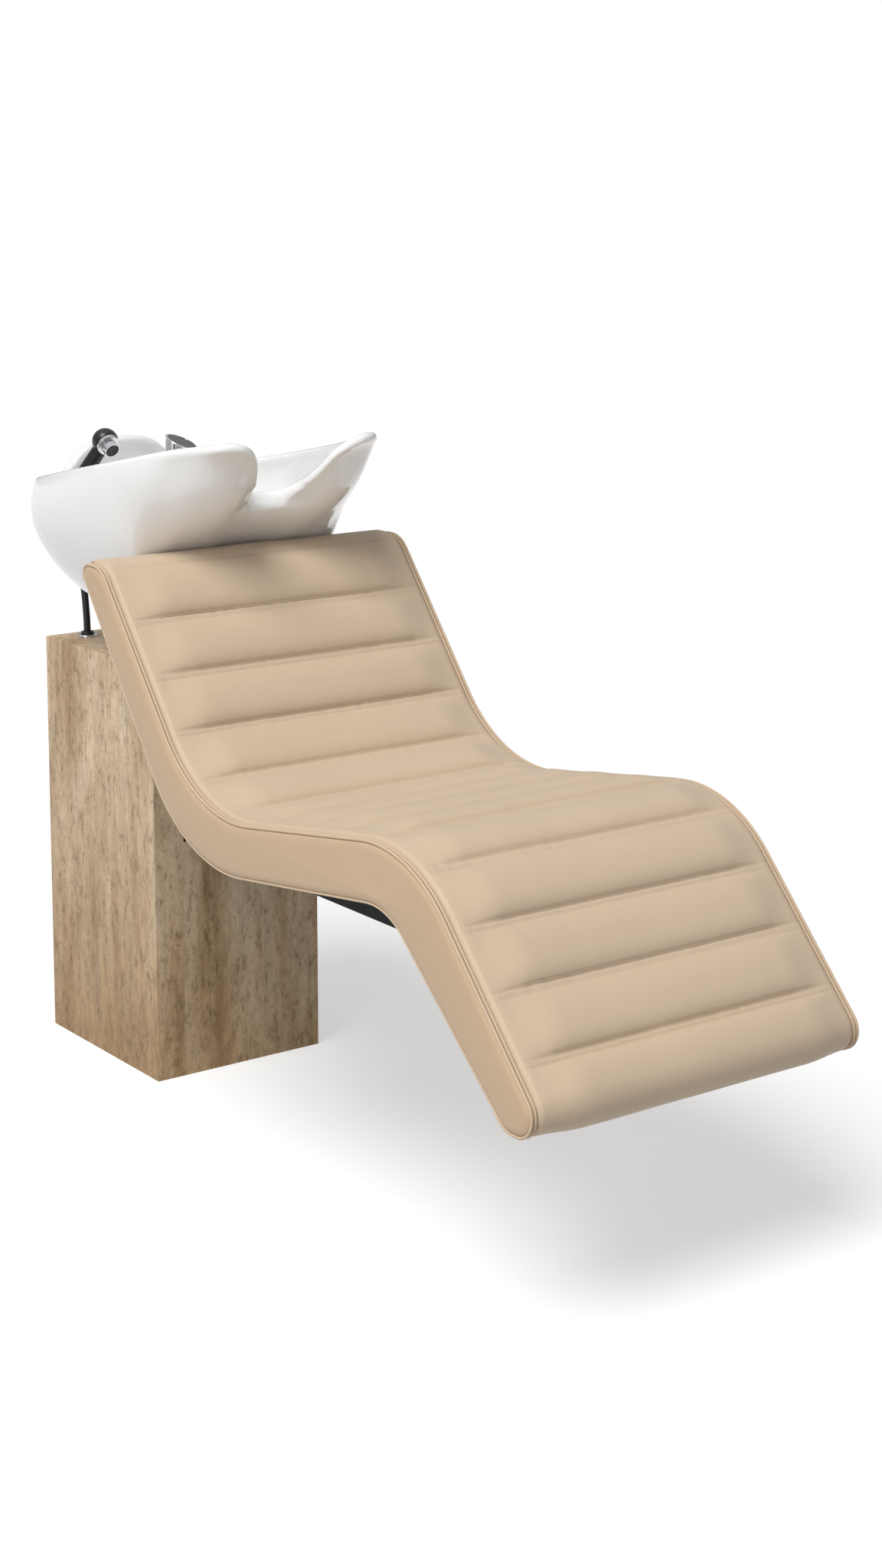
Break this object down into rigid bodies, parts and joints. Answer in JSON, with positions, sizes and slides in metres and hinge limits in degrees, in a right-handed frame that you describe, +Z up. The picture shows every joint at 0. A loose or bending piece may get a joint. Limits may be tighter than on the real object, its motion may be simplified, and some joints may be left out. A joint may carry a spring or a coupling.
{
  "type": "backwash unit",
  "caption": "Salon backwash unit: travertine plinth, S-shaped channelled lounger on a steel arm and a tilting white ceramic basin with lever mixer and pull-out hand shower.",
  "frame": {"origin": "on the floor under the middle of the plinth, in the underside of the base plate", "axes": "+X across the unit, to the right seen from the foot end; +Y towards the basin; -Y towards the client's feet; +Z up"},
  "size_m": [0.574, 1.5508, 1.0733],
  "materials": {
    "stone": "honed travertine, vertical veins and fine pits",
    "panel": "matt powder coat close to the stone's colour",
    "steel": "zinc plated fasteners",
    "black_steel": "satin black powder coat",
    "ballast": "raw cast iron",
    "plywood": "birch plywood",
    "upholstery": "beige upholstery with a fine leather grain over foam",
    "ceramic": "white gloss glaze",
    "chrome": "polished chrome",
    "dark_gloss": "smoked gloss",
    "rubber": "black rubber",
    "black_plastic": "satin black",
    "white_plastic": "white polypropylene",
    "brass": "machined brass"
  },
  "bodies": {
    "stand": {"plinth_top_slab": "stone", "plinth_front_slab": "stone", "plinth_right_slab": "stone", "plinth_left_slab": "stone", "plinth_rear_slab": "stone", "access_panel": "panel", "access_panel_screws": "steel", "arm_bolts": "steel", "seat_bolts": "steel", "post_bolts": "steel", "base_plate": "black_steel", "corner_angles": "black_steel", "mast": "black_steel", "seat_arm": "black_steel", "tilt_post": "black_steel", "ballast_blocks": "ballast", "lounger_shell": "plywood", "lounger_pad": "upholstery", "side_panel_right": "upholstery", "side_panel_left": "upholstery", "underside_cover": "upholstery", "post_rosette": "chrome", "hose_rosette": "chrome", "supply_rosette": "chrome", "shower_hose": "rubber", "supply_hoses": "rubber", "outlet_hose": "rubber", "hose_grommet": "black_plastic", "supply_grommet": "black_plastic", "waste_hose": "white_plastic", "waste_trap": "white_plastic", "waste_pipe": "white_plastic", "supply_manifold": "brass", "hose_coupling": "brass"},
    "tilting_basin": {"basin": "ceramic", "tap_deck": "ceramic", "basin_cradle": "black_steel", "cradle_bolts": "steel", "hinge_pin": "steel", "hinge_pin_nut": "steel", "drain_flange": "chrome", "drain_gasket": "rubber", "drain_nut": "white_plastic", "waste_coupling": "white_plastic", "mixer_body": "chrome", "mixer_nut": "brass", "shower_bush": "chrome", "bush_nut": "brass"},
    "mixer_swivel": {"mixer_turret": "chrome", "mixer_pivot": "chrome"},
    "mixer_lever": {"mixer_stem": "chrome", "mixer_knob": "chrome", "knob_cap": "dark_gloss"},
    "hand_shower": {"handset_body": "black_plastic", "handset_collar": "chrome", "spray_nozzle": "chrome", "spray_face": "black_plastic"},
    "waste_strainer": {"strainer": "chrome"}
  },
  "joints": [
    {"name": "basin_tilt", "type": "hinge", "parent": "stand", "child": "tilting_basin", "pos_m": [0, -0.064, 0.727], "axis": [-1, 0, 0], "range_deg": [0, 8], "deforming": ["shower_hose", "supply_hoses", "outlet_hose", "waste_hose"]},
    {"name": "mixer_turn", "type": "hinge", "parent": "tilting_basin", "child": "mixer_swivel", "pos_m": [0.092, 0.138, 0.966], "axis": [0, 0, 1], "range_deg": [-50, 50]},
    {"name": "mixer_lift", "type": "hinge", "parent": "mixer_swivel", "child": "mixer_lever", "pos_m": [0.092, 0.138, 0.966], "axis": [-1, 0, 0], "range_deg": [0, 20]},
    {"name": "handset_draw", "type": "slide", "parent": "tilting_basin", "child": "hand_shower", "axis": [0.3969, -0.3899, 0.8309], "range_m": [0, 0.05], "deforming": ["shower_hose"]},
    {"name": "strainer_lift", "type": "slide", "parent": "tilting_basin", "child": "waste_strainer", "axis": [0, 0, 1], "range_m": [0, 0.03]}
  ]
}
